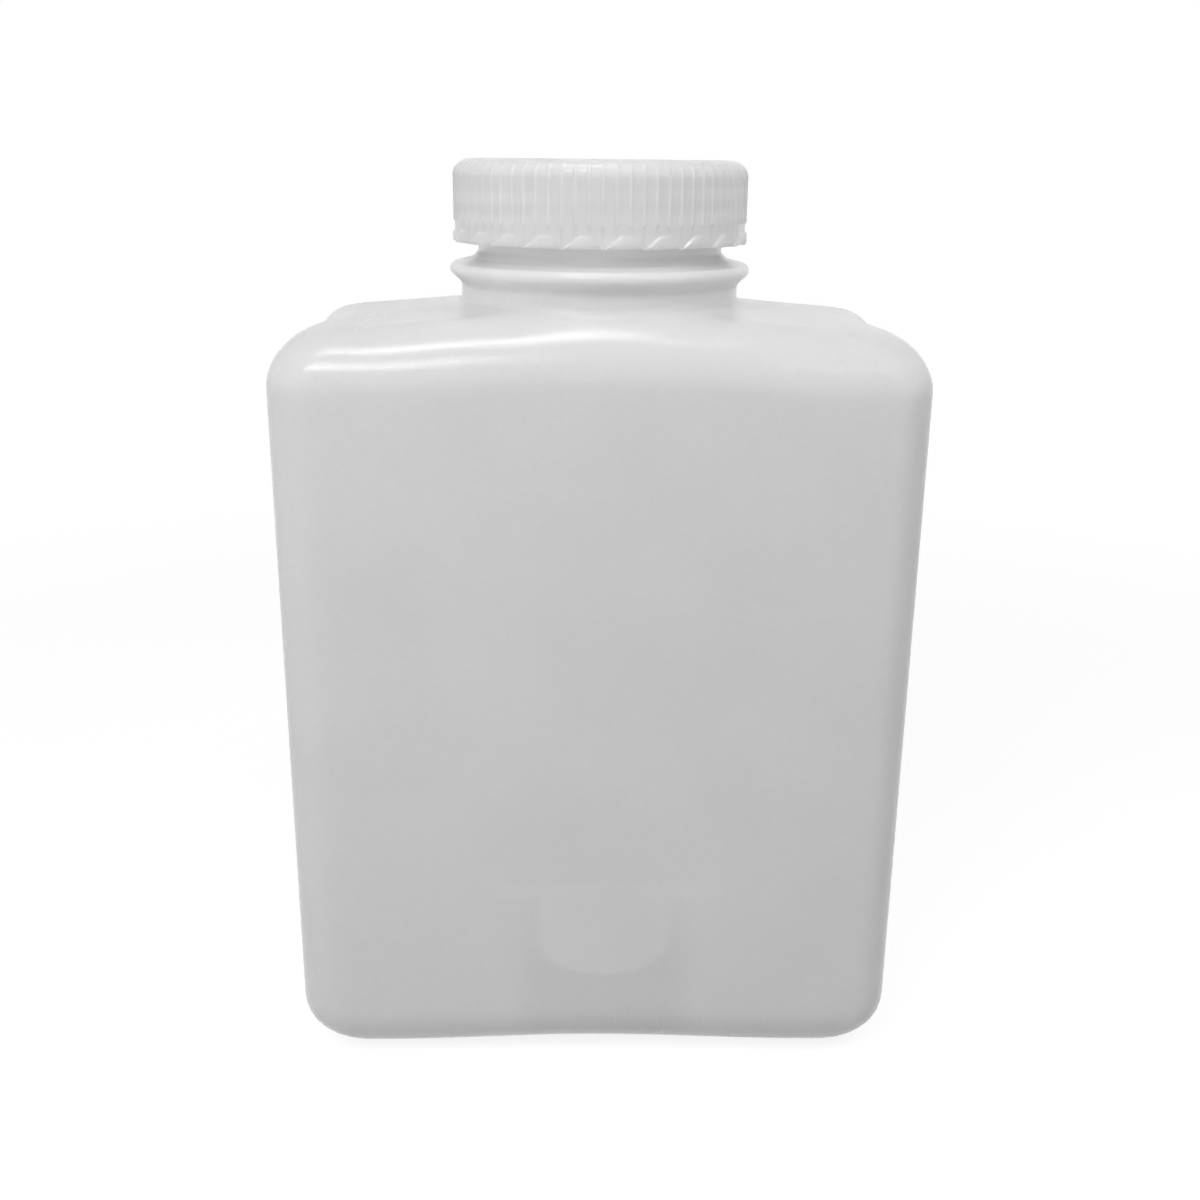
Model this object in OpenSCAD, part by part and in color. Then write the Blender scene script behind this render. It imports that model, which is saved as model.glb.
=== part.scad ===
// Rectangular wide-mouth reagent bottle: a one-piece blown bottle, a ribbed screw cap and the
// foam disc that seals between them. Millimetres. The bottle stands on z = 0, its axis is +Z,
// the broad front faces -Y.

/* [Body] */
// Width of the body, side to side
body_w = 120; // [100:1:150]
// Depth of the body, front to back
body_d = 68; // [64:0.5:100]
// Height of the shoulder above the table
shoulder_z = 148.5; // [100:0.1:200]
// Radius of the four upright corners
corner_r = 8; // [6:0.5:14]
// How much wider the corners get on their way over the shoulder's edge
corner_growth_ratio = 0.3; // [0:0.1:1]
// Radius of the edge between the walls and the shoulder
shoulder_r = 10.8; // [7:0.2:13]
// Radius at the foot of the two short sides
foot_r = 13.4; // [8:0.2:20]
// Radius at the foot of the two long sides
front_foot_r = 12.6; // [6:0.2:14]
// How far the middle of each short side draws in
side_sink = 1.8; // [0:0.1:2]
// How far the middle of each long side draws in
front_sink = 0.5; // [0:0.1:2]
// Thickness of the blown wall
wall_t = 1.6; // [1:0.1:3]

/* [Base] */
// Height of the arch in the lower edge of the two long sides
arch_h = 1.2; // [0:0.1:3]
// Width of the flat pad left at each end of the base, on which the bottle stands
foot_pad = 2.4; // [1.5:0.1:8]
// Height of the hollow pushed up into the base
pushup_h = 2.6; // [0:0.2:6]
// Width of the border left round the hollow
pushup_border = 4.4; // [3:0.2:12]

/* [Neck] */
// Room for the thread, between the cap's inner wall and the straight finish of the neck
thread_room = 2.6; // [1.6:0.1:3.2]
// Thickness of the lip, between the finish and the mouth
lip_wall = 1.8; // [1.2:0.1:3]
// How far the bead under the cap stands out beyond the cap
bead_over_cap = 0.6; // [0:0.1:2]
// How far the bead stands out from the neck below it
bead_reach = 2.2; // [1.4:0.1:3.4]
// Half the thickness of the bead where it leaves the neck
bead_half = 2.1; // [1.5:0.1:2.5]
// Gap between the bead and the rim of the closed cap
bead_gap = 2.8; // [0.6:0.1:4.6]
// Height of the lip above the shoulder
lip_rise = 26.1; // [25.4:0.1:40]
// Thickness of the neck's wall where it meets the shoulder
neck_wall = 2; // [1.6:0.1:3]
// Width of the ledge that the neck's mould leaves at its foot
ledge = 0.35; // [0.2:0.05:0.6]
// Height of the broad flare that leads the shoulder up to the neck
flare_h = 2; // [0:0.1:3]
// Reach of that flare, out from the neck
flare_reach = 26; // [12:1:30]
// Radius of the fillet between the flare and the neck
neck_fillet = 2.2; // [1:0.1:3]

/* [Cap] */
// Outside radius of the cap over its ribs
cap_r = 28.3; // [28:0.1:31]
// Height of the cap
cap_h = 15.1; // [13:0.1:16]
// Thickness of the cap's top
cap_top_t = 1.6; // [1:0.1:2.5]
// Thickness of the cap's side wall, without its ribs
cap_wall = 1.8; // [1.2:0.1:2.2]
// Radius of the cap's upper edge
cap_edge_r = 3; // [1:0.1:4]
// Rounding of the cap's lower rim
rim_round = 0.6; // [0.2:0.1:0.8]
// Number of grip ribs
rib_n = 72; // [48:4:96]
// How far the ribs stand out from the wall
rib_h = 0.5; // [0.3:0.1:1]
// Half the width of a rib
rib_half = 0.55; // [0.4:0.05:0.9]
// Height of the plain strip under the ribs, down to the teeth
strip_h = 1.5; // [0.5:0.1:3]
// Number of one-way teeth round the rim
tooth_n = 24; // [12:4:36]
// Height of a tooth
tooth_h = 2.2; // [1:0.1:3]
// Run of a tooth's slanted end, along the rim
tooth_slant = 2.9; // [0.4:0.1:4]
// Gap between the feet of two teeth
tooth_gap = 0.3; // [0.2:0.1:1]

/* [Liner] */
// Thickness of the sealing disc
liner_t = 1.2; // [0.8:0.1:2]
// Gap between the disc and the cap's wall
liner_gap = 0.3; // [0.1:0.1:0.6]

/* [Hidden] */

lip_z = shoulder_z + lip_rise;
cap_top_z = lip_z + liner_t + cap_top_t;
cap_rim_z = cap_top_z - cap_h;
rib_root_r = cap_r - rib_h;
cap_inner_r = rib_root_r - cap_wall;
// the neck is sized from the cap that closes it
finish_r = cap_inner_r - thread_room;
mouth_r = finish_r - lip_wall;
bead_r = cap_r + bead_over_cap;
neck_r = bead_r - bead_reach;
bead_z = cap_rim_z - bead_gap - bead_half;
// the blown shell ends here, in a flat ring just above its fillet, and the moulded neck begins
neck_z = shoulder_z + flare_h + neck_fillet + ledge;
// facets of the whole turns
turn_n = 144;

// ---- points of the plan -------------------------------------------------------------------

// A column is [share of the half width, share of the half depth, corner angle]. The straight
// stretches are shared out by equal angles seen from the axis.
long_steps = 24;
short_steps = 8;
corner_steps = 5;
long_angle = atan((body_w / 2 - corner_r) / (body_d / 2));
short_angle = atan((body_d / 2 - corner_r) / (body_w / 2));
function shares(steps, angle) = [for (i = [0:steps - 1]) tan(angle * (2 * i / steps - 1)) / tan(angle)];
columns = [
    for (f = shares(short_steps, short_angle)) [1, f, 0],
    for (i = [0:corner_steps - 1]) [1, 1, 90 * i / corner_steps],
    for (f = shares(long_steps, long_angle)) [-f, 1, 90],
    for (i = [0:corner_steps - 1]) [-1, 1, 90 + 90 * i / corner_steps],
    for (f = shares(short_steps, short_angle)) [-1, -f, 180],
    for (i = [0:corner_steps - 1]) [-1, -1, 180 + 90 * i / corner_steps],
    for (f = shares(long_steps, long_angle)) [f, -1, 270],
    for (i = [0:corner_steps - 1]) [1, -1, 270 + 90 * i / corner_steps],
];

// How far a column's point draws in, most at the middle of a side and nothing at its corners
function sink(c) =
    side_sink * pow(cos(90 * c[1]) * cos(c[2]), 2) + front_sink * pow(cos(90 * c[0]) * sin(c[2]), 2);

// Point of a column on a rounded rectangle of half width a, half depth b and corner radius r,
// whose sides draw in by a share of their full sink
function plan(c, a, b, r, sunk = 1) = [
    (a - r) * c[0] + (r - sunk * sink(c)) * cos(c[2]),
    (b - r) * c[1] + (r - sunk * sink(c)) * sin(c[2])
];

// ---- the shoulder -------------------------------------------------------------------------

// Distance in from the outline, t inside the outer surface. The corners of the outline grow
// as it draws in, so this is the root of a quadratic there.
function inset(x, y, t) =
    let (a = body_w / 2 - t, b = body_d / 2 - t, r = corner_r - t, k = corner_growth_ratio, m = 1 + k)
    let (u = x - (a - r), v = y - (b - r), flat = min(a - x, b - y))
    (u + m * flat <= 0 || v + m * flat <= 0) ? flat :
    let (qa = 2 * m * m - k * k, qb = 2 * m * (u + v) - 2 * k * r, qc = u * u + v * v - r * r)
    (sqrt(max(qb * qb - 4 * qa * qc, 0)) - qb) / (2 * qa);

// Height of the shoulder's surface: rounded edge, then a broad flare, then the neck's fillet
function smooth(f) = f * f * (3 - 2 * f);
function shoulder_at(p, sunk, t) =
    let (q = max(inset(abs(p[0]), abs(p[1]), t) - sunk, 0), r = norm(p) - throat_r(t))
    let (edge = shoulder_r - t, fillet = neck_fillet + t)
    shoulder_z - t - edge + sqrt(edge * edge - pow(max(edge - q, 0), 2))
    + flare_h * smooth(max(1 - max(r, 0) / flare_reach, 0))
    + fillet - sqrt(fillet * fillet - pow(max(fillet - max(r, 0), 0), 2));

// Radius at which the shoulder turns up into the neck, a ledge outside the neck's own wall
function throat_r(t) = t == 0 ? neck_r + ledge : neck_r - neck_wall - ledge;

// Plan point of a column, a share f of the way from the outline to the neck
function inward(c, f, t) =
    let (p = plan(c, body_w / 2 - t, body_d / 2 - t, corner_r - t))
    p + f * (p / norm(p) * throat_r(t) - p);

// Shares at which the shoulder is cut into rings: over the edge, up the flare, up the fillet
function shoulder_share(c, t, row, edge_rows, flare_rows, fillet_rows) =
    let (p = inward(c, 0, t), n = inward(c, 1, t), reach = inset(abs(n[0]), abs(n[1]), t))
    let (edge = min(shoulder_r - t, 0.55 * reach) / reach)
    let (fillet = 1 - (neck_fillet + t) / (norm(p) - norm(n)))
    row <= edge_rows ? edge * (1 - cos(90 * row / edge_rows)) :
    row <= edge_rows + flare_rows ? edge + (fillet - edge) * (row - edge_rows) / flare_rows :
    fillet + (1 - fillet) * sin(90 * (row - edge_rows - flare_rows) / fillet_rows);

function shoulder_rings(t, edge_rows, flare_rows, fillet_rows) = [
    for (row = [0:edge_rows + flare_rows + fillet_rows])
        [for (c = columns)
            let (p = inward(c, shoulder_share(c, t, row, edge_rows, flare_rows, fillet_rows), t))
            [p[0], p[1], shoulder_at(p, sink(c), t)]]
];

// ---- the foot and the base ----------------------------------------------------------------

// Arch of the long lower edges, between the two pads, and the hollow of the base
arch_half = body_w / 2 - foot_r - foot_pad;
// height at which the arch has faded out of the walls
arch_fade = 1.8 * foot_r;
function arch(x) = abs(x) < arch_half ? arch_h * pow(cos(90 * x / arch_half), 2) : 0;
function hollow(x, y) =
    let (a = body_w / 2 - foot_r - pushup_border, b = body_d / 2 - front_foot_r - pushup_border)
    abs(x) < a && abs(y) < b ? pushup_h * pow(cos(90 * x / a) * cos(90 * y / b), 2) : 0;

// Ring round the foot at an angle up the rounding, 0 on the base and 90 on the wall
function foot_ring(t, angle) = [
    for (c = columns)
        let (side = foot_r - t, front = front_foot_r - t)
        let (h = side + (front - side) * pow(sin(c[2]), 2), back = 1 - sin(angle))
        let (a = body_w / 2 - t - side * back, b = body_d / 2 - t - front * back)
        let (p = plan(c, a, b, corner_r - t, sin(angle)))
        let (z = h * (1 - cos(angle)))
        [p[0], p[1], t + z + arch(p[0]) * pow(max(1 - z / arch_fade, 0), 2)]
];

// Ring on the wall at the height where the arch has faded out
function wall_ring() = [
    for (c = columns)
        let (p = plan(c, body_w / 2, body_d / 2, corner_r))
        [p[0], p[1], arch_fade]
];

// Ring on the base, a share s out from its middle
function base_ring(t, s) = [
    for (c = columns)
        let (a = body_w / 2 - foot_r, b = body_d / 2 - front_foot_r)
        let (p = s * plan(c, a, b, corner_r - t, 0))
        [p[0], p[1], t + arch(p[0]) + hollow(p[0], p[1])]
];

// ---- the shell ----------------------------------------------------------------------------

// Closed skin over rings of equal count, with a point at each end
function skin_faces(rows, n) = [
    for (i = [0:n - 1]) [0, 1 + i, 1 + (i + 1) % n],
    for (row = [0:rows - 2], i = [0:n - 1])
        let (a = 1 + row * n + i, b = 1 + row * n + (i + 1) % n)
        each [[a, a + n, b + n], [a, b + n, b]],
    for (i = [0:n - 1]) [1 + rows * n, 1 + (rows - 1) * n + (i + 1) % n, 1 + (rows - 1) * n + i],
];

module blown_shell() {
    pad_share = arch_half / (arch_half + foot_pad);
    outside = concat(
        [for (s = [0.25, 0.5, 0.75, 1]) base_ring(0, s * pad_share)],
        [for (angle = [0:15:90]) foot_ring(0, angle)],
        [wall_ring()],
        shoulder_rings(0, 8, 4, 4),
        [[for (c = columns) let (p = inward(c, 1, 0)) [p[0], p[1], neck_z]]]);
    inside = concat(
        [for (s = [0.35, 0.7, 1]) base_ring(wall_t, s * pad_share)],
        [for (angle = [0:22.5:90]) foot_ring(wall_t, angle)],
        shoulder_rings(wall_t, 5, 3, 3),
        [[for (c = columns) let (p = inward(c, 1, wall_t)) [p[0], p[1], neck_z]]]);
    rings = concat(outside, [for (i = [len(inside) - 1:-1:0]) inside[i]]);
    bottom = arch_h + pushup_h;
    points = concat([[0, 0, bottom]], [for (ring = rings) each ring], [[0, 0, bottom + wall_t]]);
    polyhedron(points, skin_faces(len(rings), len(columns)));
}

// ---- the neck -----------------------------------------------------------------------------

// Points of an arc round (x, y), from one angle to another
function arc(x, y, r, from, to, steps) = [
    for (i = [0:steps]) let (a = from + (to - from) * i / steps) [x + r * cos(a), y + r * sin(a)]
];

module neck() {
    bead_edge = bead_half / 2;
    bead_fillet = 0.4 * bead_half;
    lip_round = lip_wall / 3;
    inner_r = neck_r - neck_wall;
    rotate_extrude($fn = turn_n)
        polygon(concat(
            [[neck_r, neck_z], [neck_r, bead_z - bead_half]],
            arc(bead_r - bead_edge, bead_z, bead_edge, -60, 70, 6),
            arc(finish_r + bead_fillet, bead_z + bead_half + bead_fillet, bead_fillet, 270, 180, 4),
            arc(finish_r - lip_round, lip_z - lip_round, lip_round, 0, 90, 4),
            arc(mouth_r + lip_round, lip_z - lip_round, lip_round, 90, 180, 4),
            [[mouth_r, bead_z], [inner_r, neck_z + ledge], [inner_r, neck_z]]));
}

module bottle() {
    color([0.86, 0.86, 0.85])
        union() {
            blown_shell();
            neck();
        }
}

// ---- the cap ------------------------------------------------------------------------------

// Outside of the cap for a given wall radius, with its rounded upper edge
module cap_envelope(r) {
    rotate_extrude($fn = turn_n)
        polygon(concat(
            [[0, cap_rim_z], [r - rim_round, cap_rim_z]],
            arc(r - rim_round, cap_rim_z + rim_round, rim_round, -90, 0, 4),
            arc(r - cap_edge_r, cap_top_z - cap_edge_r, cap_edge_r, 0, 90, 8),
            [[0, cap_top_z]]));
}

// Fine half-round ribs, their crests a little inside the teeth's radius
module grip_ribs() {
    crest_gap = rib_h / 6;
    foot = tooth_h + strip_h;
    intersection() {
        cap_envelope(cap_r);
        for (i = [0:rib_n - 1])
            rotate([0, 0, 360 * i / rib_n])
                translate([cap_r - rib_half - crest_gap, 0, cap_rim_z + foot])
                    cylinder(r = rib_half, h = cap_h, $fn = 24);
    }
}

// Raised teeth round the rim: each rises along a slant, runs level and drops straight down
module teeth() {
    half = PI * cap_r / tooth_n - tooth_gap / 2;
    intersection() {
        cap_envelope(cap_r);
        for (i = [0:tooth_n - 1])
            rotate([0, 0, 360 * (i + 0.5) / tooth_n])
                translate([rib_root_r - cap_wall / 2, 0, cap_rim_z])
                    rotate([90, 0, 90])
                        linear_extrude(cap_wall)
                            polygon([[-half, -1], [-half, 0], [tooth_slant - half, tooth_h],
                                [half, tooth_h], [half, -1]]);
    }
}

module screw_cap() {
    color([0.9, 0.9, 0.89])
        difference() {
            union() {
                cap_envelope(rib_root_r);
                grip_ribs();
                teeth();
            }
            translate([0, 0, cap_rim_z - cap_top_t])
                cylinder(r = cap_inner_r, h = cap_h, $fn = turn_n);
        }
}

module sealing_liner() {
    color([0.96, 0.96, 0.94])
        translate([0, 0, lip_z])
            cylinder(r = cap_inner_r - liner_gap, h = liner_t, $fn = turn_n);
}

bottle();
screw_cap();
sealing_liner();
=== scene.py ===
"""Looks of the rectangular wide-mouth reagent bottle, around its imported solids.

Lengths in the shape functions are millimetres; build_piece() turns them into metres. The
bottle's axis is +Z, the table is z = 0 and the broad front faces -Y.
"""

import bpy
import numpy as np
from mathutils import Matrix


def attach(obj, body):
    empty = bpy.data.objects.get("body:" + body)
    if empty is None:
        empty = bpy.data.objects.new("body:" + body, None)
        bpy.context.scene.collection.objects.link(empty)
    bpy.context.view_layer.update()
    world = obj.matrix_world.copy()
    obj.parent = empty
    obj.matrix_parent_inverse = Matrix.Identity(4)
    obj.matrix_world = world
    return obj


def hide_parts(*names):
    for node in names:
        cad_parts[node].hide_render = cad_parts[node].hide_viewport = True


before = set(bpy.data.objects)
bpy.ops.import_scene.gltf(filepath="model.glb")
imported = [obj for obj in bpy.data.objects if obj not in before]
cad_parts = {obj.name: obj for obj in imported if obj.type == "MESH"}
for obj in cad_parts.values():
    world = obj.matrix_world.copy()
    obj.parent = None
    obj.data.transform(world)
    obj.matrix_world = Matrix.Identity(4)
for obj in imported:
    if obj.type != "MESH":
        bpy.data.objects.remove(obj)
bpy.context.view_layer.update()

MM = 0.001

# ---- sizes: the solids' own, except where a line says otherwise -------------------------------
HALF_W, HALF_D = 60.0, 34.0
SHOULDER_Z, SHOULDER_R = 148.5, 10.8
CORNER_R, CORNER_GROWTH = 8.0, 0.3
FOOT_R, FRONT_FOOT_R = 13.4, 12.6
SIDE_SINK, FRONT_SINK = 1.8, 0.5
WALL = 1.6
ARCH_H, FOOT_PAD, ARCH_FADE = 1.2, 2.4, 1.8 * FOOT_R
PUSHUP_H, PUSHUP_BORDER = 2.6, 4.4
NECK_R, NECK_WALL = 26.7, 2.0
FLARE_H, FLARE_REACH, NECK_FILLET = 2.0, 26.0, 0.9     # solids: fillet 2.2, on a 0.35 ledge
COVE_H, COVE_R = 1.3, 7.0                              # not in the solids
NECK_Z = SHOULDER_Z + FLARE_H + COVE_H + NECK_FILLET
BEAD_R, BEAD_HALF, BEAD_Z = 28.9, 2.1, SHOULDER_Z + 8.9
FINISH_R, MOUTH_R, LIP_Z = 23.4, 21.6, SHOULDER_Z + 26.1
LINER_T, CAP_TOP_T = 1.2, 1.6
CAP_R, CAP_TOP_Z, CAP_H = 28.3, LIP_Z + 2.8, 15.1
CAP_RIM_Z = CAP_TOP_Z - CAP_H
CAP_ROOT_R, CAP_INNER_R = 27.8, 26.0
CAP_EDGE_R, RIM_ROUND = 3.0, 0.6
STRIP_H, TOOTH_N, TOOTH_H, TOOTH_SLANT, TOOTH_GAP = 1.5, 24, 2.2, 2.9, 0.3
TOOTH_OUT = 0.42                                       # solids: 0.5, all along the tooth
RIB_N, RIB_HALF, RIB_H = 72, 0.5, 0.25                 # solids: half width 0.55, height 0.5
# thread, parting line and base seam aren't in the solids
THREAD_PITCH = 4.0
THREAD_Z_FRONT = 171.2          # height of the neck thread's upper turn at the front
THREAD_H, THREAD_CREST, THREAD_FOOT = 1.5, 0.45, 1.15   # height, half widths of crest and foot
LINE_H, LINE_SHARE = 0.06, 0.009   # parting line: height, half width as a share of the side
SEAM_HALF, SEAM_W, SEAM_H = 31.0, 0.55, 0.32       # base seam: half length, half width, height


# ---- grids to meshes --------------------------------------------------------------------------
def build_piece(name, rows, body, replaces=None, poles=(True, True)):
    """Skin over rows of points: rows is an array (rows, columns, 3) in millimetres, closed
    round its columns. Each pole that is asked for closes an end with one point, the mean of
    its last row; without poles the last row joins the first, as round a ring."""
    n_rows, n_cols = rows.shape[:2]
    verts = rows.reshape(-1, 3)
    col = np.arange(n_cols)
    nxt = (col + 1) % n_cols
    closed = not any(poles)
    row = np.arange(n_rows if closed else n_rows - 1)[:, None]
    low, high = row * n_cols, ((row + 1) % n_rows) * n_cols
    quads = np.stack([low + col, low + nxt, high + nxt, high + col], -1).reshape(-1, 4)
    tris = []
    if poles[0]:
        tris.append(np.stack([nxt, col, np.full(n_cols, len(verts))], -1))
        verts = np.vstack([verts, rows[0].mean(0)])
    if poles[1]:
        last = (n_rows - 1) * n_cols
        tris.append(np.stack([last + col, last + nxt, np.full(n_cols, len(verts))], -1))
        verts = np.vstack([verts, rows[-1].mean(0)])
    faces = quads.tolist() + [t for part in tris for t in part.tolist()]
    mesh = bpy.data.meshes.new(name)
    mesh.from_pydata((verts * MM).tolist(), [], faces)
    mesh.validate()
    mesh.update()
    mesh.polygons.foreach_set("use_smooth", np.ones(len(mesh.polygons), bool))
    piece = bpy.data.objects.new(name, mesh)
    bpy.context.scene.collection.objects.link(piece)
    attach(piece, body)
    if replaces:
        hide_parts(replaces)
    return piece


def rounded_profile(corners, step=9.0):
    """Profile through corner points (r, z, radius): each corner is cut back by its radius
    along both legs and bridged with a quadratic arc, so the profile bends smoothly."""
    out = []
    pts = np.array([c[:2] for c in corners], float)
    for i, (r, z, radius) in enumerate(corners):
        if radius <= 0 or i in (0, len(corners) - 1):
            out.append([r, z])
            continue
        p = pts[i]
        a, b = pts[i - 1] - p, pts[i + 1] - p
        la, lb = np.linalg.norm(a), np.linalg.norm(b)
        turn = np.degrees(np.arccos(np.clip(-(a @ b) / la / lb, -1, 1)))
        cut = min(radius * np.tan(np.radians(turn / 2)), 0.49 * la, 0.49 * lb)
        start, end = p + a / la * cut, p + b / lb * cut
        for s in np.linspace(0, 1, max(3, int(turn / step) + 2)):
            out.append((1 - s) ** 2 * start + 2 * s * (1 - s) * p + s * s * end)
    return np.array(out)


def turned(profile, angles):
    """Grid of a profile (r, z) turned about the axis: one row for each profile point."""
    r, z = profile[:, 0][:, None], profile[:, 1][:, None]
    return np.stack([r * np.cos(angles), r * np.sin(angles), z + 0 * angles], -1)


def ramp(x, low, high):
    """0 below low, 1 above high, and a smooth S between them."""
    f = np.clip((x - low) / (high - low), 0, 1)
    return f * f * (3 - 2 * f)


# ---- the blown bottle -------------------------------------------------------------------------
def plan_columns(long_steps, short_steps, corner_steps):
    """Columns round the rounded rectangle: share of the half width, share of the half depth
    and corner angle. The sides are shared out by equal angles seen from the axis, with a few
    close columns at the middle of the two short sides for the parting line."""
    long_angle = np.arctan((HALF_W - CORNER_R) / HALF_D)
    short_angle = np.arctan((HALF_D - CORNER_R) / HALF_W)

    def side(steps, angle, line):
        s = np.tan(angle * (2 * np.arange(steps) / steps - 1)) / np.tan(angle)
        if line:
            s = s[np.abs(s) > 0.06]
            s = np.sort(np.append(s, [-0.03, -0.011, -0.005, 0, 0.005, 0.011, 0.03]))
        return s

    parts = []
    for k in range(4):
        line = k % 2 == 0
        f = side(short_steps, short_angle, True) if line else side(long_steps, long_angle, False)
        sign = (1, 1, -1, -1)[k]
        one = np.full(len(f), 1.0)
        mid = [sign * one, sign * f, 90.0 * k * one] if line else \
            [-sign * f, sign * one, 90.0 * k * one]
        parts.append(np.stack(mid))
        corner = np.ones(corner_steps)
        sx, sy = ((1, 1), (-1, 1), (-1, -1), (1, -1))[k]
        parts.append(np.stack([sx * corner, sy * corner,
                               90.0 * (k + np.arange(corner_steps) / corner_steps)]))
    return np.concatenate(parts, 1)


COLUMNS = plan_columns(72, 30, 20)
COL_X, COL_Y = COLUMNS[0], COLUMNS[1]
COL_COS, COL_SIN = np.cos(np.radians(COLUMNS[2])), np.sin(np.radians(COLUMNS[2]))
COL_SINK = (SIDE_SINK * (np.cos(np.pi / 2 * COL_Y) * COL_COS) ** 2
            + FRONT_SINK * (np.cos(np.pi / 2 * COL_X) * COL_SIN) ** 2)
# 1 on the hairline where the two halves of the mould met, at the middle of the short sides
COL_LINE = np.where(np.abs(COL_SIN) < 1e-6, np.clip(1 - np.abs(COL_Y) / LINE_SHARE, 0, 1), 0)


def plan(a, b, r, sunk=1.0):
    """Rounded rectangle of half width a, half depth b and corner radius r, one point for each
    column; the middles of its sides draw in by a share of their full sink."""
    out = r - sunk * COL_SINK + LINE_H * COL_LINE
    return np.stack([(a - r) * COL_X + out * COL_COS, (b - r) * COL_Y + out * COL_SIN], -1)


def inset(p, t):
    """How far inside the outline each point lies, where the outline's corners grow rounder as
    it draws in: flat distance off the corners, root of a quadratic on them."""
    x, y = np.abs(p[..., 0]), np.abs(p[..., 1])
    a, b, r, k = HALF_W - t, HALF_D - t, CORNER_R - t, CORNER_GROWTH
    m = 1 + k
    u, v, flat = x - (a - r), y - (b - r), np.minimum(a - x, b - y)
    qa, qb, qc = 2 * m * m - k * k, 2 * m * (u + v) - 2 * k * r, u * u + v * v - r * r
    root = (np.sqrt(np.maximum(qb * qb - 4 * qa * qc, 0)) - qb) / (2 * qa)
    return np.where((u + m * flat <= 0) | (v + m * flat <= 0), flat, root)


def throat_r(t):
    """Radius at which the shoulder turns up into the neck, outside or t inside the surface."""
    return NECK_R if t == 0 else NECK_R - NECK_WALL


def shoulder_z_at(p, t):
    """Height of the shoulder: a quarter round at the edge, a broad flare towards the neck, a
    steeper rise close to it and the fillet that turns up into it."""
    q = np.maximum(inset(p, t) - COL_SINK, 0)
    r = np.maximum(np.linalg.norm(p, axis=-1) - throat_r(t), 0)
    edge, fillet = SHOULDER_R - t, NECK_FILLET + t
    return (SHOULDER_Z - t - edge + np.sqrt(edge ** 2 - np.maximum(edge - q, 0) ** 2)
            + FLARE_H * ramp(1 - r / FLARE_REACH, 0, 1)
            + COVE_H * np.maximum(1 - r / COVE_R, 0) ** 2
            + fillet - np.sqrt(fillet ** 2 - np.maximum(fillet - r, 0) ** 2)
            + LINE_H * COL_LINE * (t == 0) * np.clip(1 - q / SHOULDER_R, 0, 1))


def shoulder_grid(t, edge_rows, flare_rows, fillet_rows):
    """Rows from the wall to the neck, each column along its own radial line, close together
    over the edge and up the fillet."""
    start = plan(HALF_W - t, HALF_D - t, CORNER_R - t)
    length = np.linalg.norm(start, axis=1)
    end = start / length[:, None] * throat_r(t)
    reach = inset(end, t)
    edge = np.minimum(SHOULDER_R - t, 0.55 * reach) / reach
    fillet = 1 - (NECK_FILLET + t) / (length - throat_r(t))
    shares = [edge * (1 - np.cos(np.pi / 2 * i / edge_rows)) for i in range(edge_rows)]
    shares += [edge + (fillet - edge) * i / flare_rows for i in range(flare_rows)]
    shares += [fillet + (1 - fillet) * np.sin(np.pi / 2 * i / fillet_rows)
               for i in range(fillet_rows + 1)]
    p = start + np.array(shares)[..., None] * (end - start)
    return np.concatenate([p, shoulder_z_at(p, t)[..., None]], -1)


ARCH_HALF = HALF_W - FOOT_R - FOOT_PAD


def arch(x, z):
    """Lift of the long lower edges between the two end pads, fading out up the wall."""
    lift = np.where(np.abs(x) < ARCH_HALF, ARCH_H * np.cos(np.pi / 2 * x / ARCH_HALF) ** 2, 0)
    return lift * np.maximum(1 - z / ARCH_FADE, 0) ** 2


def foot_grid(t, rows):
    """Rows up the rounding of the foot, from the base to the upright wall."""
    out = []
    for angle in np.linspace(0, np.pi / 2, rows):
        side, front = FOOT_R - t, FRONT_FOOT_R - t
        h = side + (front - side) * COL_SIN ** 2
        back = 1 - np.sin(angle)
        p = plan(HALF_W - t - side * back, HALF_D - t - front * back, CORNER_R - t,
                 np.sin(angle))
        z = h * (1 - np.cos(angle))
        out.append(np.concatenate([p, (t + z + arch(p[:, 0], z))[:, None]], 1))
    return np.array(out)


def base_grid(t, rows):
    """Rows from the middle of the base out to the foot: the arch plus the pushed-up hollow."""
    share = np.linspace(0, 1, rows + 1)[1:-1, None, None]
    p = share * plan(HALF_W - FOOT_R, HALF_D - FRONT_FOOT_R, CORNER_R - t, 0.0)
    a, b = HALF_W - FOOT_R - PUSHUP_BORDER, HALF_D - FRONT_FOOT_R - PUSHUP_BORDER
    x, y = p[..., 0], p[..., 1]
    hollow = PUSHUP_H * (np.cos(np.pi / 2 * x / a) * np.cos(np.pi / 2 * y / b)) ** 2
    hollow = np.where((np.abs(x) < a) & (np.abs(y) < b), hollow, 0)
    return np.concatenate([p, (t + arch(x, 0 * x) + hollow)[..., None]], -1)


def wall_grid(t, z_values):
    """Rows up the upright wall at the given heights."""
    p = plan(HALF_W - t, HALF_D - t, CORNER_R - t)
    return np.array([np.concatenate([p, (z + arch(p[:, 0], z - t))[:, None]], 1)
                     for z in z_values])


def thread_height(angles, z, z_front, turns):
    """Height of a right-hand thread over its cylinder: a flat crest with sloping flanks round
    the helix z = z_front + pitch * (angle from the front) / turn, run out at both ends."""
    turn = (angles / (2 * np.pi) + 0.25 + 0.5) % 1 - 0.5          # 0 at the front
    away = (z - z_front) / THREAD_PITCH - turn
    k = np.round(away)
    off = np.abs(away - k) * THREAD_PITCH
    along = turn + k                                             # turns up from the front
    ends = ramp(along, turns[0], turns[0] + 0.07) * (1 - ramp(along, turns[1] - 0.07, turns[1]))
    return THREAD_H * ends * (1 - ramp(off, THREAD_CREST, THREAD_FOOT))


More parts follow.
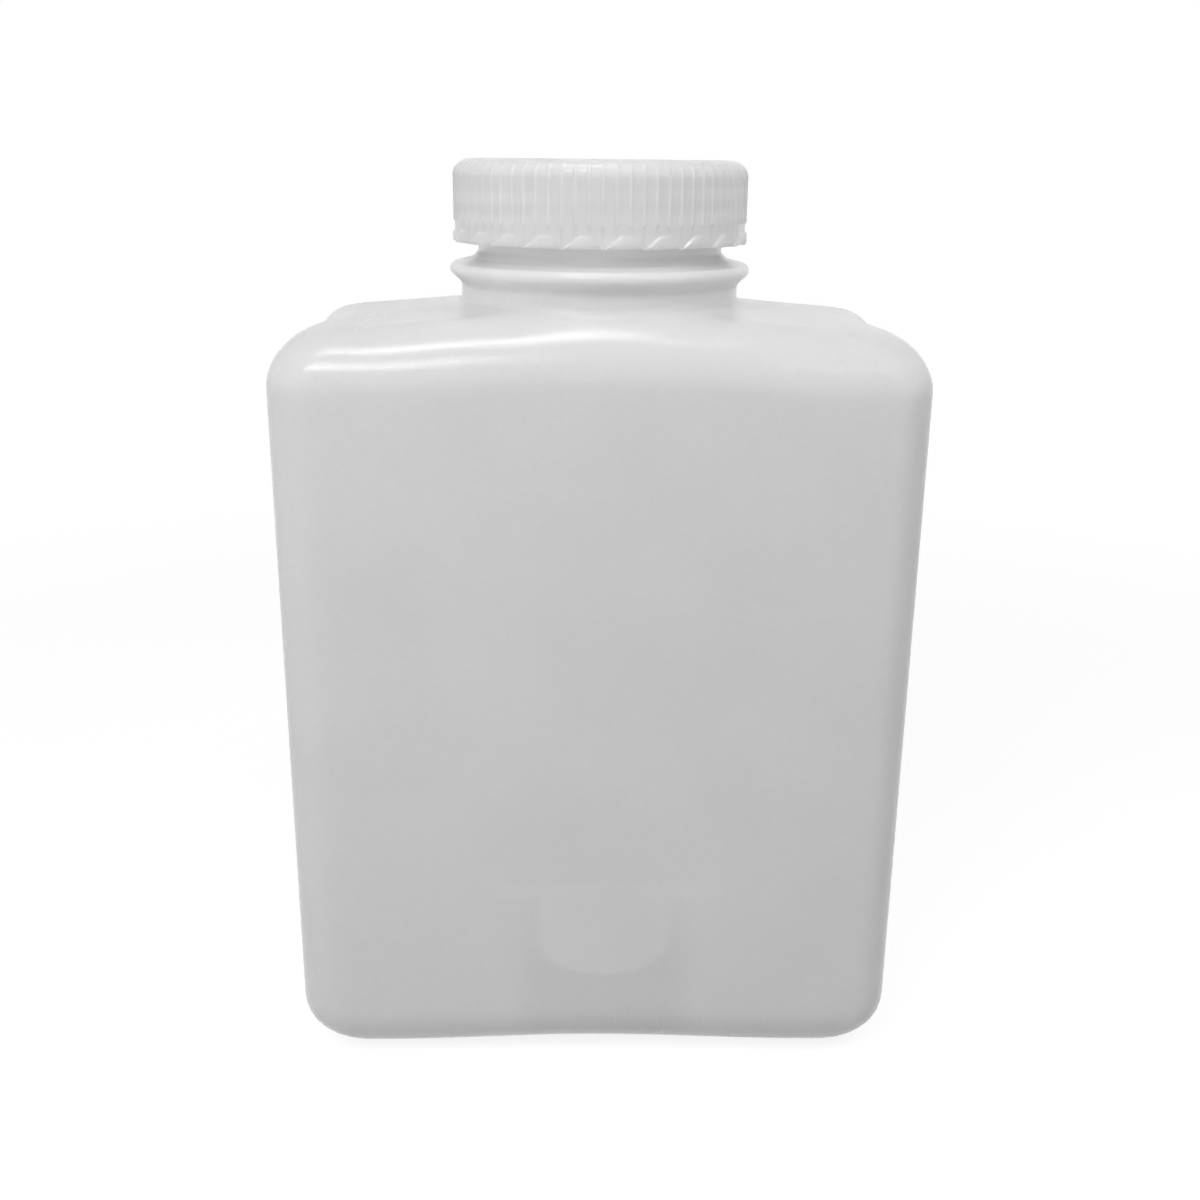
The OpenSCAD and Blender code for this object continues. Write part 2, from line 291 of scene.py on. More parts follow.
def bottle_grid():
    """The whole bottle as one closed skin: outside from the base up to the lip, then down
    the inside to the base again. The finish above the bead carries the thread."""
    angles = np.arctan2(*shoulder_grid(0, 1, 1, 1)[-1, :, 1::-1].T)
    neck = rounded_profile([
        (NECK_R, NECK_Z + 0.3, 0), (NECK_R, BEAD_Z - BEAD_HALF - 0.5, 1.6),
        (BEAD_R - 0.1, BEAD_Z - 0.7, 1.2), (BEAD_R, BEAD_Z + 0.2, 1.0),
        (BEAD_R - 0.5, BEAD_Z + 1.05, 1.2),
        (FINISH_R + 1.2, BEAD_Z + BEAD_HALF - 0.1, 1.2), (FINISH_R, BEAD_Z + BEAD_HALF + 1.1, 1.0),
        (FINISH_R, BEAD_Z + 4.2, 0)], step=7)
    finish_z = np.linspace(BEAD_Z + 4.4, LIP_Z - 1.3, 56)
    lip = rounded_profile([
        (FINISH_R, LIP_Z - 1.2, 0), (FINISH_R, LIP_Z, 0.6), (MOUTH_R, LIP_Z, 0.6),
        (MOUTH_R, BEAD_Z, 3.0), (NECK_R - NECK_WALL, NECK_Z + 1.0, 1.0),
        (NECK_R - NECK_WALL, NECK_Z + 0.3, 0)])
    finish = turned(np.stack([np.full(len(finish_z), FINISH_R), finish_z], -1), angles)
    bulge = thread_height(angles, finish_z[:, None], THREAD_Z_FRONT, (-1.25, 0.25))
    finish[..., :2] *= (1 + bulge / FINISH_R)[..., None]
    outside = [base_grid(0, 16), foot_grid(0, 13),
               wall_grid(0, [16, 19, 22, 26, 34, 50, 75, 100, 125, 134]),
               shoulder_grid(0, 22, 14, 9), turned(neck, angles), finish]
    inside = [base_grid(WALL, 10), foot_grid(WALL, 8), wall_grid(WALL, [18, 24, 40, 80, 130]),
              shoulder_grid(WALL, 12, 8, 6)]
    return np.concatenate(outside + [turned(lip, angles)] + [g[::-1] for g in inside[::-1]])


def base_seam_grid():
    """The pinched-off seam across the hollow base: a low ridge, half an ellipse in section,
    that follows the base's height along x and fades at both ends."""
    x = np.linspace(-SEAM_HALF, SEAM_HALF, 90)[:, None]
    around = np.linspace(0, 2 * np.pi, 20, endpoint=False)
    a = HALF_W - FOOT_R - PUSHUP_BORDER
    base = arch(x, 0 * x) + PUSHUP_H * np.cos(np.pi / 2 * x / a) ** 2
    fade = np.sqrt(np.clip(1 - (np.abs(x) / (SEAM_HALF + 0.2)) ** 6, 0, 1))
    half_w, half_h = SEAM_W * fade, SEAM_H * fade
    return np.stack([x + 0 * around, half_w * np.cos(around), base + half_h * np.sin(around)], -1)


# ---- the cap ----------------------------------------------------------------------------------
def tooth_columns():
    """Columns of one tooth: angle from the middle of the gap before it, height of its top
    (a slant and a level run) and how far it stands out, 1 at its slanted end and falling
    away towards the other."""
    end = 2 * np.pi * CAP_R / TOOTH_N - TOOTH_GAP
    level = np.linspace(TOOTH_SLANT, end, 20)
    slant = np.linspace(0, 1, 14) ** 1.15 * TOOTH_SLANT
    s = np.concatenate([[-TOOTH_GAP / 2, -0.03], slant[:-1], level[1:], [end + 0.03], [end + 0.12]])
    # a soft corner where the slant meets the level run; the top comes down again beyond the
    # place where the tooth has fallen away flush
    top = TOOTH_H - np.logaddexp(0, (TOOTH_SLANT - s) * 6) / 6 * TOOTH_H / TOOTH_SLANT
    top = np.maximum(top * (1 - ramp(s, end - 1.0, end + 0.05)), 0.03)
    out = TOOTH_OUT * (1 - ramp(s, 0.6 * TOOTH_SLANT, end - 1.0)) * (s >= 0)
    return (s + TOOTH_GAP / 2) / CAP_R, top, out


def cap_grid():
    """The cap as one closed skin, from the threaded inside round the rim and up the outside:
    one-way teeth, plain strip, ribbed wall (each rib h = H cos^2 across its width), rounded
    edge, and a top plate with its gate mark. Three ribs share their columns with a tooth."""
    pitch = 2 * np.pi / RIB_N
    across = np.array([0, 0.055, 0.11, 0.165, 0.225, 0.35, 0.5, 0.65, 0.775, 0.835, 0.89, 0.945])
    rib_angles = (np.arange(RIB_N)[:, None] + across).ravel() * pitch
    s = np.minimum(across, 1 - across) * pitch * CAP_R
    rib = np.tile(np.where(s < RIB_HALF, RIB_H * np.cos(np.pi / 2 * s / RIB_HALF) ** 2, 0), RIB_N)
    one_angle, one_top, one_out = tooth_columns()
    tooth_angles = (np.arange(TOOTH_N)[:, None] * 2 * np.pi / TOOTH_N + one_angle).ravel()
    top, out = np.tile(one_top, TOOTH_N), np.tile(one_out, TOOTH_N)
    rows = []

    def row(radius, z, angles=rib_angles):
        rows.append(np.stack([radius * np.cos(angles), radius * np.sin(angles),
                              z + 0 * angles], -1))

    # top: a gate mark in a shallow dimple, then a plate that is dished a little
    for r, z in [(0.35, -0.2), (0.8, -0.2), (1.0, -0.42), (2.3, -0.42), (3.0, -0.25),
                 (3.6, -0.22), (10, -0.2), (18, -0.14), (22.4, -0.1), (23.2, -0.02),
                 (24.0, 0.0)]:
        row(r, CAP_TOP_Z + z)
    # rounded edge; the ribs rise out of it
    steps = 14
    for i in range(1, steps + 1):
        a = np.pi / 2 * i / steps
        row(CAP_ROOT_R - CAP_EDGE_R + CAP_EDGE_R * np.sin(a) + rib * ramp(i / steps, 0.25, 0.9),
            CAP_TOP_Z - CAP_EDGE_R + CAP_EDGE_R * np.cos(a))
    rib_foot = CAP_RIM_Z + TOOTH_H + STRIP_H
    for z in np.linspace(CAP_TOP_Z - CAP_EDGE_R - 0.8, rib_foot + 0.35, 7):
        row(CAP_ROOT_R + rib, z)
    # ribs die on the strip
    for f in (0.1, 0.5, 0.9, 1.0):
        row(CAP_ROOT_R + (1 - f) * rib, rib_foot + 0.3 - 0.3 * f)
    # teeth: the strip down to each tooth's sloping shoulder and down to the rim
    half = np.minimum(0.28, 0.45 * top)
    for f in (1.5, 1.0, 0.75, 0.45, 0.15, -0.15, -0.45, -0.75, -1.0):
        row(CAP_ROOT_R + out * ramp(-f, -1.0, 1.0), CAP_RIM_Z + top + f * half, tooth_angles)
    for f in (0.75, 0.5, 0.28, 0.18, 0.11, 0.055, 0.02, 0.0):
        z = f * (top - half)
        rounding = RIM_ROUND - np.sqrt(RIM_ROUND ** 2 - np.maximum(RIM_ROUND - z, 0) ** 2)
        row(CAP_ROOT_R + out - rounding, CAP_RIM_Z + z, tooth_angles)
    # inside: a chamfer, the threaded wall and the underside of the top
    row(CAP_INNER_R + 0.45, CAP_RIM_Z + 0.02, tooth_angles)
    row(CAP_INNER_R, CAP_RIM_Z + 0.5, tooth_angles)
    under = CAP_TOP_Z - CAP_TOP_T
    for z in np.linspace(CAP_RIM_Z + 1.0, under - 2.6, 42):
        h = thread_height(tooth_angles, z, THREAD_Z_FRONT - THREAD_PITCH / 2, (-1.35, -0.1))
        row(CAP_INNER_R - h, z, tooth_angles)
    row(CAP_INNER_R, under - 0.3, tooth_angles)
    row(CAP_INNER_R - 0.25, under + 0.03, tooth_angles)
    row(20.0, under + 0.03, tooth_angles)
    row(8.0, under + 0.03, tooth_angles)
    return np.array(rows)[::-1]


def liner_grid():
    """The foam disc: a rounded edge and, underneath, the shallow ring that the lip pressed."""
    radius = CAP_INNER_R - 0.3
    low, high = LIP_Z, LIP_Z + LINER_T
    profile = rounded_profile([
        (2, low + 0.01, 0), (MOUTH_R - 0.5, low + 0.01, 0.5), (MOUTH_R, low + 0.09, 0.3),
        (FINISH_R, low + 0.09, 0.3), (FINISH_R + 0.5, low + 0.01, 0.5),
        (radius, low + 0.01, 0.35), (radius, high, 0.35), (2, high, 0)])
    return turned(profile, np.linspace(0, 2 * np.pi, 192, endpoint=False))


# ---- materials --------------------------------------------------------------------------------
def new_group(name, inputs, outputs):
    """Empty node group with named inputs (name, type, default) and outputs (name, type)."""
    group = bpy.data.node_groups.new(name, "ShaderNodeTree")
    for label, kind, default in inputs:
        sock = group.interface.new_socket(label, in_out="INPUT", socket_type=kind)
        if default is not None:
            sock.default_value = default
    for label, kind in outputs:
        group.interface.new_socket(label, in_out="OUTPUT", socket_type=kind)
    return group, group.nodes.new("NodeGroupInput"), group.nodes.new("NodeGroupOutput")


def maths(tree, kind, *values, clamp=False):
    """Math node of a kind; each value is a number or a socket. Gives back its output."""
    node = tree.nodes.new("ShaderNodeMath")
    node.operation, node.use_clamp = kind, clamp
    for i, v in enumerate(values):
        if isinstance(v, (int, float)):
            node.inputs[i].default_value = v
        else:
            tree.links.new(v, node.inputs[i])
    return node.outputs[0]


def noise(tree, vector, scale, detail=3.0, rough=0.5):
    """Noise of a scale per metre, read at a vector socket. Gives back its 0 to 1 value."""
    node = tree.nodes.new("ShaderNodeTexNoise")
    node.inputs["Scale"].default_value = scale
    node.inputs["Detail"].default_value = detail
    node.inputs["Roughness"].default_value = rough
    tree.links.new(vector, node.inputs["Vector"])
    return node.outputs["Fac"]


def span(tree, value, low, high, to_low, to_high, smooth=True):
    """Map a value from one span to another, held at both ends."""
    node = tree.nodes.new("ShaderNodeMapRange")
    node.interpolation_type = "SMOOTHSTEP" if smooth else "LINEAR"
    tree.links.new(value, node.inputs["Value"])
    for label, v in (("From Min", low), ("From Max", high), ("To Min", to_low),
                     ("To Max", to_high)):
        if isinstance(v, (int, float)):
            node.inputs[label].default_value = v
        else:
            tree.links.new(v, node.inputs[label])
    return node.outputs["Result"]


def blend_colour(tree, kind, fac, a, b):
    """Mix two colours (sockets or tuples) by a factor."""
    node = tree.nodes.new("ShaderNodeMix")
    node.data_type, node.blend_type = "RGBA", kind
    for sock, v in ((node.inputs[0], fac), (node.inputs[6], a), (node.inputs[7], b)):
        if isinstance(v, (int, float, tuple)):
            sock.default_value = v
        else:
            tree.links.new(v, sock)
    return node.outputs[2]


# noise scales of the plastic's skin, per metre
CLOUD_SCALE, FINE_SCALE, PIT_SCALE, STREAK_SCALE, PATCH_SCALE, SPECK_SCALE = (
    38, 900, 2600, 700, 22, 130)
SPECK_COLOUR = (0.12, 0.11, 0.1, 1)
GRAIN_DEPTH = 0.0001               # height in metres that a relief of 1 stands for


def plastic_skin_group():
    """Skin of natural moulded plastic: cloudy tone, fine pits, faint rub marks and specks.
    Cloud, grain, rub and specks set how strong each is."""
    group, gin, gout = new_group(
        "moulded_plastic_skin",
        [("Vector", "NodeSocketVector", None), ("Base", "NodeSocketColor", (0.7, 0.7, 0.7, 1)),
         ("Deep", "NodeSocketColor", (0.6, 0.6, 0.6, 1)), ("Cloud", "NodeSocketFloat", 0.5),
         ("Grain", "NodeSocketFloat", 1.0), ("Rub", "NodeSocketFloat", 0.5),
         ("Specks", "NodeSocketFloat", 0.3), ("Gloss", "NodeSocketFloat", 0.35)],
        [("Color", "NodeSocketColor"), ("Roughness", "NodeSocketFloat"),
         ("Height", "NodeSocketFloat")])
    vec = gin.outputs["Vector"]
    cloud = span(group, noise(group, vec, CLOUD_SCALE, 4, 0.55), 0.3, 0.7, 0, 1)
    fine = noise(group, vec, FINE_SCALE, 3, 0.6)
    pits = noise(group, vec, PIT_SCALE, 2, 0.5)
    # rub marks: long thin streaks, a stretched noise cut to its crests
    mapping = group.nodes.new("ShaderNodeMapping")
    mapping.inputs["Rotation"].default_value = (0.2, 0.5, 0.6)
    mapping.inputs["Scale"].default_value = (1.0, 1.0, 0.06)
    group.links.new(vec, mapping.inputs["Vector"])
    streak = span(group, noise(group, mapping.outputs[0], STREAK_SCALE, 3, 0.6), 0.62, 0.72, 0, 1)
    patch = span(group, noise(group, vec, PATCH_SCALE, 2, 0.5), 0.5, 0.68, 0, 1)
    rub = maths(group, "MULTIPLY", maths(group, "MULTIPLY", streak, patch), gin.outputs["Rub"])
    # specks: tiny dark inclusions, the centres of a few Voronoi cells
    cells = group.nodes.new("ShaderNodeTexVoronoi")
    cells.inputs["Scale"].default_value = SPECK_SCALE
    group.links.new(vec, cells.inputs["Vector"])
    near = span(group, cells.outputs["Distance"], 0.012, 0.024, 1, 0)
    sep = group.nodes.new("ShaderNodeSeparateColor")
    group.links.new(cells.outputs["Color"], sep.inputs[0])
    rare = span(group, sep.outputs[0], 0.965, 0.97, 0, 1)
    speck = maths(group, "MULTIPLY", maths(group, "MULTIPLY", near, rare), gin.outputs["Specks"])
    tone = maths(group, "MULTIPLY", cloud, gin.outputs["Cloud"])
    colour = blend_colour(group, "MIX", tone, gin.outputs["Base"], gin.outputs["Deep"])
    mottle = maths(group, "MULTIPLY_ADD", maths(group, "SUBTRACT", fine, 0.5), 0.05, 1.0)
    colour = blend_colour(group, "MULTIPLY", 1.0, colour, mottle)
    colour = blend_colour(group, "MIX", speck, colour, SPECK_COLOUR)
    group.links.new(colour, gout.inputs["Color"])
    rough = maths(group, "ADD", gin.outputs["Gloss"],
                  maths(group, "MULTIPLY", maths(group, "SUBTRACT", cloud, 0.5), 0.06))
    rough = maths(group, "ADD", rough, maths(group, "MULTIPLY", rub, 0.2), clamp=True)
    group.links.new(rough, gout.inputs["Roughness"])
    relief = maths(group, "MULTIPLY_ADD", pits, 0.9, fine)
    relief = maths(group, "MULTIPLY", relief, gin.outputs["Grain"])
    relief = maths(group, "SUBTRACT", relief, maths(group, "MULTIPLY", rub, 0.08))
    group.links.new(relief, gout.inputs["Height"])
    return group


SKIN = plastic_skin_group()


def plastic(name, base, deep, cloud, grain, rub, specks, gloss, bump, reach, tint=None,
            passes=0.0):
    """Material of natural plastic: the shared skin feeding a Principled shader whose light all
    scatters inside it, over a reach in metres. tint, if given, changes the colour socket by
    position, and passes is the share of a lamp's light that a thin milky wall lets through to
    what is behind it."""
    mat = bpy.data.materials.new(name)
    mat.use_nodes = True
    tree = mat.node_tree
    shader = next(n for n in tree.nodes if n.type == "BSDF_PRINCIPLED")
    coords = tree.nodes.new("ShaderNodeTexCoord")
    skin = tree.nodes.new("ShaderNodeGroup")
    skin.node_tree = SKIN
    tree.links.new(coords.outputs["Object"], skin.inputs["Vector"])
    for label, v in (("Base", (*base, 1)), ("Deep", (*deep, 1)), ("Cloud", cloud),
                     ("Grain", grain), ("Rub", rub), ("Specks", specks), ("Gloss", gloss)):
        skin.inputs[label].default_value = v
    colour = skin.outputs["Color"]
    if tint:
        colour = tint(tree, coords.outputs["Object"], colour)
    tree.links.new(colour, shader.inputs["Base Color"])
    tree.links.new(skin.outputs["Roughness"], shader.inputs["Roughness"])
    relief = tree.nodes.new("ShaderNodeBump")
    relief.inputs["Strength"].default_value = bump
    relief.inputs["Distance"].default_value = GRAIN_DEPTH
    tree.links.new(skin.outputs["Height"], relief.inputs["Height"])
    tree.links.new(relief.outputs[0], shader.inputs["Normal"])
    shader.inputs["IOR"].default_value = 1.5
    shader.inputs["Subsurface Weight"].default_value = 1.0
    shader.inputs["Subsurface Radius"].default_value = (1.0, 1.0, 1.0)
    shader.inputs["Subsurface Scale"].default_value = reach
    if passes:
        path = tree.nodes.new("ShaderNodeLightPath")
        clear = tree.nodes.new("ShaderNodeBsdfTransparent")
        mix = tree.nodes.new("ShaderNodeMixShader")
        tree.links.new(maths(tree, "MULTIPLY", path.outputs["Is Shadow Ray"], passes),
                       mix.inputs[0])
        tree.links.new(shader.outputs[0], mix.inputs[1])
        tree.links.new(clear.outputs[0], mix.inputs[2])
        out = next(n for n in tree.nodes if n.type == "OUTPUT_MATERIAL")
        tree.links.new(mix.outputs[0], out.inputs["Surface"])
    return mat


def cap_painted_see_through_light(tree, vector, colour):
    """Painted see-through light: paler bands painted along the helix and behind the top, standing
    in for light through the milky wall where white plastic touches it from inside, fainter on the
    middle."""
    xyz = tree.nodes.new("ShaderNodeSeparateXYZ")
    tree.links.new(vector, xyz.inputs[0])
    x, y, z = xyz.outputs
    turn = maths(tree, "DIVIDE", maths(tree, "ARCTAN2", x, maths(tree, "MULTIPLY", y, -1.0)),
                 2 * np.pi)
    away = maths(tree, "SUBTRACT",
                 maths(tree, "DIVIDE", maths(tree, "SUBTRACT", z, THREAD_Z_FRONT * MM),
                       THREAD_PITCH * MM), turn)
    off = maths(tree, "ABSOLUTE", maths(tree, "SUBTRACT", away, maths(tree, "ROUND", away)))
    crest = span(tree, off, 0.05, 0.45, 1, 0)
    low = span(tree, z, (CAP_RIM_Z + 2.5) * MM, (CAP_RIM_Z + 4.0) * MM, 0, 1)
    high = span(tree, z, (LIP_Z - 2.2) * MM, (LIP_Z - 1.4) * MM, 1, 0)
    band = maths(tree, "MULTIPLY", maths(tree, "MULTIPLY", crest, low), high)
    liner = span(tree, z, (LIP_Z - 0.6) * MM, (LIP_Z + 0.3) * MM, 0, 1)
    sides = span(tree, maths(tree, "ABSOLUTE", x), 0.2 * CAP_R * MM, 0.8 * CAP_R * MM, 0.12, 0.34)
    # painted light: share of the pale colour that stands in for light seen through the wall, weaker
    # in the middle
    painted_light_share = maths(tree, "MULTIPLY", maths(tree, "MAXIMUM", band, liner), sides)
    return blend_colour(tree, "MIX", painted_light_share, colour, (0.93, 0.93, 0.93, 1))


PATCH_X, BOWL_HALF = 1.5, 13.0
BOWL_Z = 21.0, 29.0, 41.5          # bottom of the bowl, start of its rounding and its brim
# painted light in the bowl and painted shade in the field round it, as shares of the colour
BOWL_PAINTED_LIGHT, FIELD_PAINTED_SHADE = 0.015, 0.07


def painted_front_light_and_shade(tree, vector, colour):
    """Painted light and shade low on the front face: a slightly paler bowl of painted light with a
    level brim, and a slightly darker field of painted shade round and below it."""
    xyz = tree.nodes.new("ShaderNodeSeparateXYZ")
    tree.links.new(vector, xyz.inputs[0])
    x, y, z = xyz.outputs
    front = span(tree, y, (2 - HALF_D) * MM, (4 - HALF_D) * MM, 1, 0)
    side = maths(tree, "ABSOLUTE", maths(tree, "SUBTRACT", x, PATCH_X * MM))
    across = maths(tree, "DIVIDE", side, BOWL_HALF * MM)
    down = maths(tree, "DIVIDE", maths(tree, "SUBTRACT", BOWL_Z[1] * MM, z),
                 (BOWL_Z[1] - BOWL_Z[0]) * MM)
    down = maths(tree, "MAXIMUM", down, 0.0)
    reach = maths(tree, "SQRT", maths(tree, "ADD", maths(tree, "MULTIPLY", across, across),
                                      maths(tree, "MULTIPLY", down, down)))
    below_top = span(tree, z, (BOWL_Z[2] - 0.4) * MM, (BOWL_Z[2] + 0.4) * MM, 1, 0)
    lit_bowl = maths(tree, "MULTIPLY", span(tree, reach, 0.88, 1.12, 1, 0), below_top)
    brim = maths(tree, "MULTIPLY", span(tree, side, 19 * MM, 22 * MM, 1, 0),
                 maths(tree, "MULTIPLY", below_top,
                       span(tree, z, (BOWL_Z[2] - 4.0) * MM, (BOWL_Z[2] - 2.5) * MM, 0, 1)))
    lit_bowl = maths(tree, "MAXIMUM", lit_bowl, brim)
    shaded_field = maths(tree, "MULTIPLY", span(tree, side, 12 * MM, 20 * MM, 1, 0),
                  span(tree, z, BOWL_Z[0] * MM, (BOWL_Z[2] - 2.0) * MM, 1, 0.3))
    shaded_field = maths(tree, "MULTIPLY", shaded_field, maths(tree, "SUBTRACT", 1.0, lit_bowl))
    shaded_field = maths(tree, "MULTIPLY", shaded_field, below_top)
    # painted light of the bowl less painted shade of the field
    tone = maths(tree, "SUBTRACT", maths(tree, "MULTIPLY", lit_bowl, BOWL_PAINTED_LIGHT),
                 maths(tree, "MULTIPLY", shaded_field, FIELD_PAINTED_SHADE))
    tone = maths(tree, "MULTIPLY_ADD", tone, front, 1.0)
    return blend_colour(tree, "MULTIPLY", 1.0, colour, tone)


# the bottle's colour carries a painted patch of light and shade low on its front
bottle_mat = plastic(
    "natural_polyethylene", base=(0.80, 0.80, 0.80), deep=(0.77, 0.77, 0.77), cloud=0.6,
    grain=1.0, rub=0.5, specks=0.5, gloss=0.20, bump=0.34, reach=0.003, tint=painted_front_light_and_shade)
# the cap's colour carries painted see-through light bands along its thread and under its top
cap_mat = plastic(
    "natural_polypropylene", base=(0.78, 0.78, 0.78), deep=(0.75, 0.75, 0.75), cloud=0.5,
    grain=0.5, rub=0.4, specks=0.0, gloss=0.24, bump=0.10, reach=0.004, tint=cap_painted_see_through_light,
    passes=0.96)
liner_mat = plastic(
    "white_foam", base=(0.82, 0.82, 0.81), deep=(0.78, 0.78, 0.77), cloud=0.5, grain=2.0,
    rub=0.1, specks=0.0, gloss=0.7, bump=0.25, reach=0.003, passes=0.5)

# ---- pieces -----------------------------------------------------------------------------------
shell = build_piece("bottle_shell", bottle_grid(), "bottle", "bottle")
seam = build_piece("bottle_base_seam", base_seam_grid(), "bottle")
cap = build_piece("cap_ribbed", cap_grid(), "cap", "screw_cap")
liner = build_piece("liner_disc", liner_grid(), "liner", "sealing_liner")
for piece, mat in ((shell, bottle_mat), (seam, bottle_mat), (cap, cap_mat), (liner, liner_mat)):
    piece.data.materials.append(mat)
for node, mat in (("bottle", bottle_mat), ("screw_cap", cap_mat), ("sealing_liner", liner_mat)):
    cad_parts[node].data.materials.clear()
    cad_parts[node].data.materials.append(mat)

# ---- floor, lights and camera -----------------------------------------------------------------
FLOOR_HALF, FLOOR_DROP = 6.0, 0.0002
FLOOR_TONE, FLOOR_GLOW = 0.4, 0.8
FLOOR_FADE = 0.22, 0.5             # distances from the axis between which it turns plain white
AMBIENT, BACKGROUND = 0.3, 1.0     # the world's strength as light, and as it is seen


def seen_by_eye(tree):
    """1 for rays from the camera and for reflections and see-through, 0 for lighting rays."""
    path = tree.nodes.new("ShaderNodeLightPath")
    return maths(tree, "MAXIMUM", path.outputs["Is Camera Ray"],
                 maths(tree, "MAXIMUM", path.outputs["Is Glossy Ray"],
                       path.outputs["Is Transmission Ray"]))


def backdrop_material():
    """Plain pale floor: it lights the object as a plain matt surface does, and looks white
    with the object's shadow on it, fading to plain white a little way off."""
    mat = bpy.data.materials.new("pale_floor")
    mat.use_nodes = True
    tree = mat.node_tree
    tree.nodes.clear()
    out = tree.nodes.new("ShaderNodeOutputMaterial")
    matt = tree.nodes.new("ShaderNodeBsdfDiffuse")
    matt.inputs["Color"].default_value = (FLOOR_TONE, FLOOR_TONE, FLOOR_TONE, 1)
    glow = tree.nodes.new("ShaderNodeEmission")
    glow.inputs["Strength"].default_value = FLOOR_GLOW
    both = tree.nodes.new("ShaderNodeAddShader")
    tree.links.new(matt.outputs[0], both.inputs[0])
    tree.links.new(glow.outputs[0], both.inputs[1])
    white = tree.nodes.new("ShaderNodeEmission")
    far = tree.nodes.new("ShaderNodeMixShader")
    coords = tree.nodes.new("ShaderNodeTexCoord")
    length = tree.nodes.new("ShaderNodeVectorMath")
    length.operation = "LENGTH"
    tree.links.new(coords.outputs["Object"], length.inputs[0])
    tree.links.new(span(tree, length.outputs["Value"], *FLOOR_FADE, 0, 1), far.inputs[0])
    tree.links.new(both.outputs[0], far.inputs[1])
    tree.links.new(white.outputs[0], far.inputs[2])
    seen = tree.nodes.new("ShaderNodeMixShader")
    tree.links.new(seen_by_eye(tree), seen.inputs[0])
    tree.links.new(matt.outputs[0], seen.inputs[1])
    tree.links.new(far.outputs[0], seen.inputs[2])
    tree.links.new(seen.outputs[0], out.inputs["Surface"])
    return mat


floor_mesh = bpy.data.meshes.new("floor")
floor_mesh.from_pydata([(-FLOOR_HALF, -FLOOR_HALF, 0), (FLOOR_HALF, -FLOOR_HALF, 0),
                        (FLOOR_HALF, FLOOR_HALF, 0), (-FLOOR_HALF, FLOOR_HALF, 0)], [],
                       [(0, 1, 2, 3)])
floor = bpy.data.objects.new("floor", floor_mesh)
floor.location = (0, 0, -FLOOR_DROP)
bpy.context.scene.collection.objects.link(floor)
floor.data.materials.append(backdrop_material())

world = bpy.data.worlds.new("studio")
bpy.context.scene.world = world
world.use_nodes = True
sky = world.node_tree.nodes["Background"]
sky.inputs["Color"].default_value = (1, 1, 1, 1)
seen_ray = seen_by_eye(world.node_tree)
world.node_tree.links.new(
    span(world.node_tree, seen_ray, 0, 1, AMBIENT, BACKGROUND, smooth=False),
    sky.inputs["Strength"])


def area_light(name, power, size, azimuth, elevation, distance, aim_z):
    """Rectangular lamp at an azimuth (from the front, + to the right) and an elevation, at a
    distance from the point of the axis, at height aim_z, that it faces. A lamp named fill
    lights and isn't reflected, and one named glint is reflected and doesn't light."""
    az, el = np.radians(azimuth), np.radians(elevation)
    toward = np.array([np.cos(el) * np.sin(az), -np.cos(el) * np.cos(az), np.sin(el)])
    lamp = bpy.data.lights.new(name, "AREA")
    lamp.shape, lamp.size, lamp.size_y, lamp.energy = "RECTANGLE", size[0], size[1], power
    obj = bpy.data.objects.new(name, lamp)
    z = toward
    x = np.array([1.0, 0, 0]) - z[0] * z if name.startswith("glint") else np.cross([0, 0, 1], z)
    x = x / np.linalg.norm(x)
    y = np.cross(z, x)
    place = np.array([0, 0, aim_z]) + distance * toward
    obj.matrix_world = Matrix(((x[0], y[0], z[0], place[0]), (x[1], y[1], z[1], place[1]),
                               (x[2], y[2], z[2], place[2]), (0, 0, 0, 1)))
    bpy.context.scene.collection.objects.link(obj)
    obj.visible_glossy = not name.startswith("fill")
    obj.visible_diffuse = not name.startswith("glint")


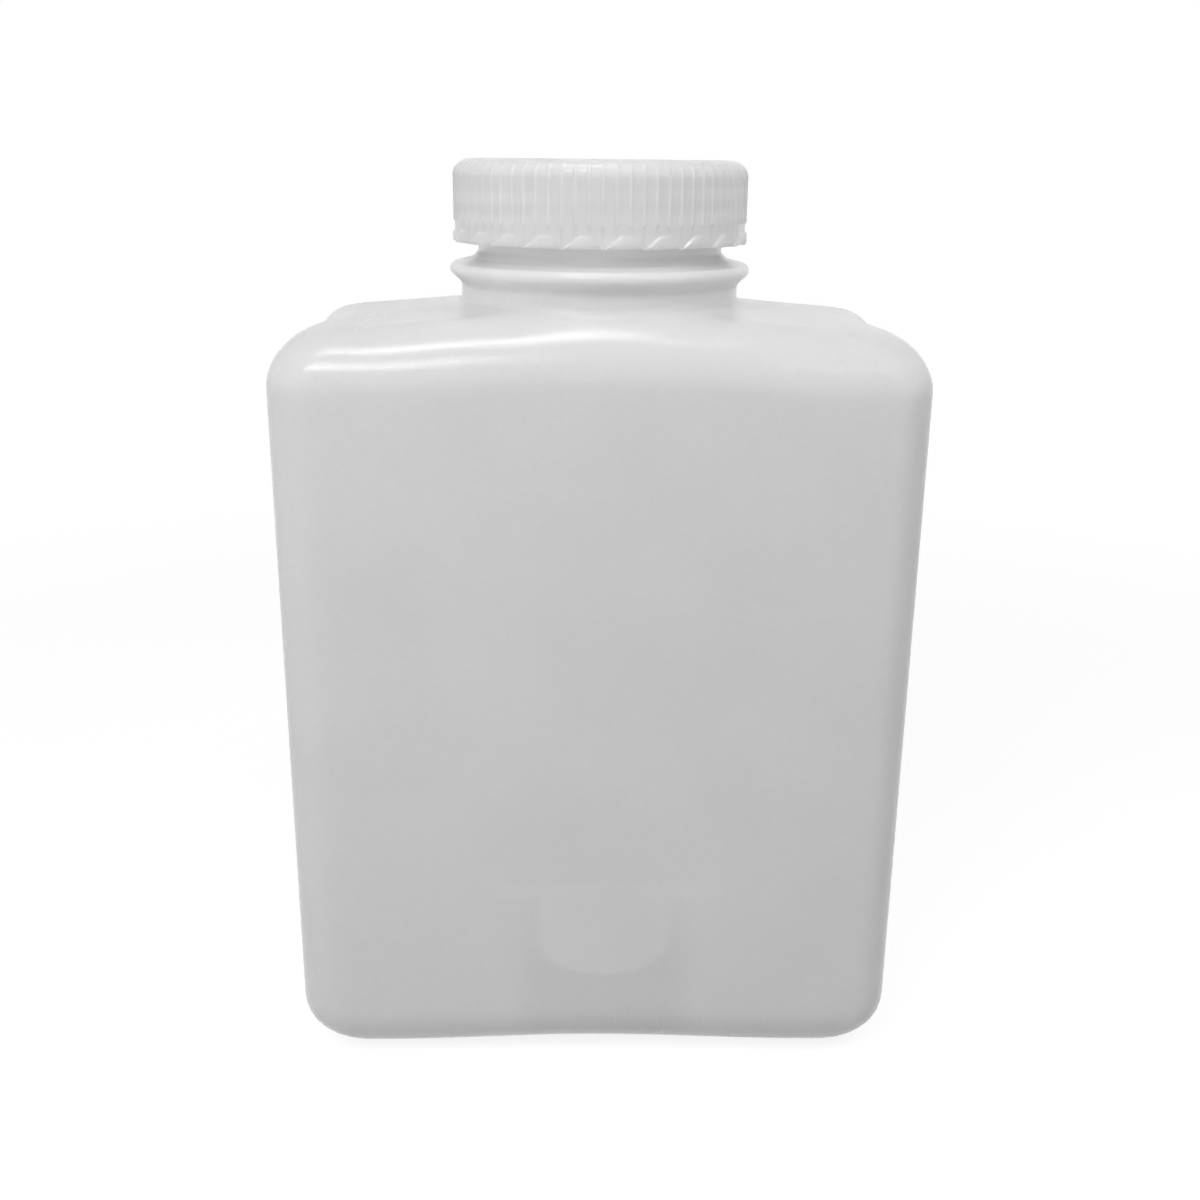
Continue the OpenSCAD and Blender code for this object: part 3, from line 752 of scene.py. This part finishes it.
# name, watts, (width, height) in metres, azimuth, elevation, distance, height it faces
LAMPS = [
    ("glint_overhead", 0.77, (0.26, 0.068), -22, 72, 0.6, 0.145),
    ("glint_front_left", 0.68, (0.18, 0.11), -20, 41, 0.7, 0.142),
    ("glint_right", 0.12, (0.05, 0.05), 26, 42, 0.7, 0.142),
    ("lamp_level", 0.75, (1.2, 0.5), 5, 2, 0.9, 0.16),
    ("fill_low", 0.05, (0.3, 0.1), 0, -18, 0.4, 0.165),
    ("fill_right", 0.25, (0.2, 0.2), 58, 30, 0.36, 0.18),
    ("fill_cap_right", 0.055, (0.06, 0.06), 60, 40, 0.25, 0.17),
    ("fill_near_left", 0.24, (0.2, 0.2), -45, 8, 0.42, 0.12),
    ("fill_near_top_left", 0.6, (0.25, 0.25), -35, 35, 0.45, 0.14),
    ("fill_near_top", 0.22, (0.3, 0.15), -8, 50, 0.42, 0.15),
]
for lamp_row in LAMPS:
    area_light(*lamp_row)

# solved camera: focal length and frame in pixels, eye in metres, angles in radians
FOCAL_PX, FRAME_PX, SENSOR_MM = 1359.16, 1200.0, 36.0
EYE = np.array([-4.79, -271.24, 176.81]) * MM
YAW, PITCH, ROLL = -0.0205, 0.3114, 0.0108
forward = np.array([-np.sin(YAW) * np.cos(PITCH), np.cos(YAW) * np.cos(PITCH), -np.sin(PITCH)])
right = np.array([np.cos(YAW), np.sin(YAW), 0.0])
up = np.cross(right, forward)
cam_x = np.cos(ROLL) * right + np.sin(ROLL) * up
cam_y = -np.sin(ROLL) * right + np.cos(ROLL) * up
camera_data = bpy.data.cameras.new("camera")
camera_data.sensor_fit = "HORIZONTAL"
camera_data.sensor_width = SENSOR_MM
camera_data.lens = SENSOR_MM * FOCAL_PX / FRAME_PX
camera_data.clip_start = 0.01
camera = bpy.data.objects.new("camera", camera_data)
camera.matrix_world = Matrix((
    (cam_x[0], cam_y[0], -forward[0], EYE[0]), (cam_x[1], cam_y[1], -forward[1], EYE[1]),
    (cam_x[2], cam_y[2], -forward[2], EYE[2]), (0, 0, 0, 1)))
bpy.context.scene.collection.objects.link(camera)
bpy.context.scene.camera = camera
bpy.context.scene.view_settings.view_transform = "Standard"
